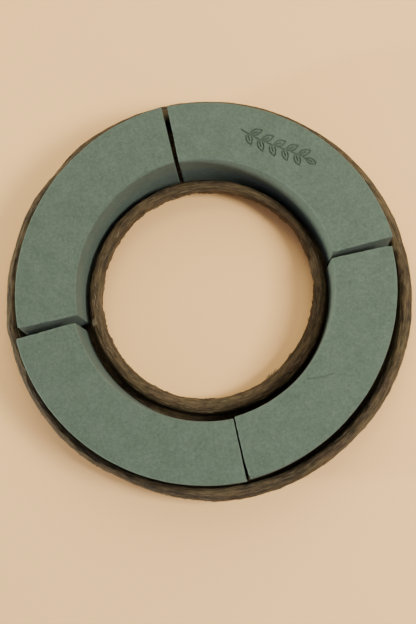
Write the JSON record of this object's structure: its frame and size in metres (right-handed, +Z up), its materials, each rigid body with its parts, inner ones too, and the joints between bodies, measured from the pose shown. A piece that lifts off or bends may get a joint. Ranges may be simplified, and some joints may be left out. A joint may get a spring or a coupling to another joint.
{
  "type": "wreath frame",
  "caption": "Flat floristry ring: curved floral-foam segments bonded end to end into a channel-shaped moulded-fibre tray with rolled rims and an open centre.",
  "frame": {"origin": "under the centre of the ring, on the surface that the tray lies on", "axes": "+Z up out of the foam's top; +X and +Y in the plane of the ring, with the first foam segment between them"},
  "size_m": [0.3, 0.3, 0.048],
  "materials": {
    "moulded_fibre": "matte",
    "floral_foam": "matte",
    "hot_melt_glue": "satin"
  },
  "bodies": {
    "root": {"tray": "moulded_fibre", "foam_segment_1": "floral_foam", "foam_segment_2": "floral_foam", "foam_segment_3": "floral_foam", "foam_segment_4": "floral_foam", "glue_dab_1_1": "hot_melt_glue", "glue_dab_1_2": "hot_melt_glue", "glue_dab_1_3": "hot_melt_glue", "glue_dab_2_1": "hot_melt_glue", "glue_dab_2_2": "hot_melt_glue", "glue_dab_2_3": "hot_melt_glue", "glue_dab_3_1": "hot_melt_glue", "glue_dab_3_2": "hot_melt_glue", "glue_dab_3_3": "hot_melt_glue", "glue_dab_4_1": "hot_melt_glue", "glue_dab_4_2": "hot_melt_glue", "glue_dab_4_3": "hot_melt_glue"}
  },
  "joints": []
}
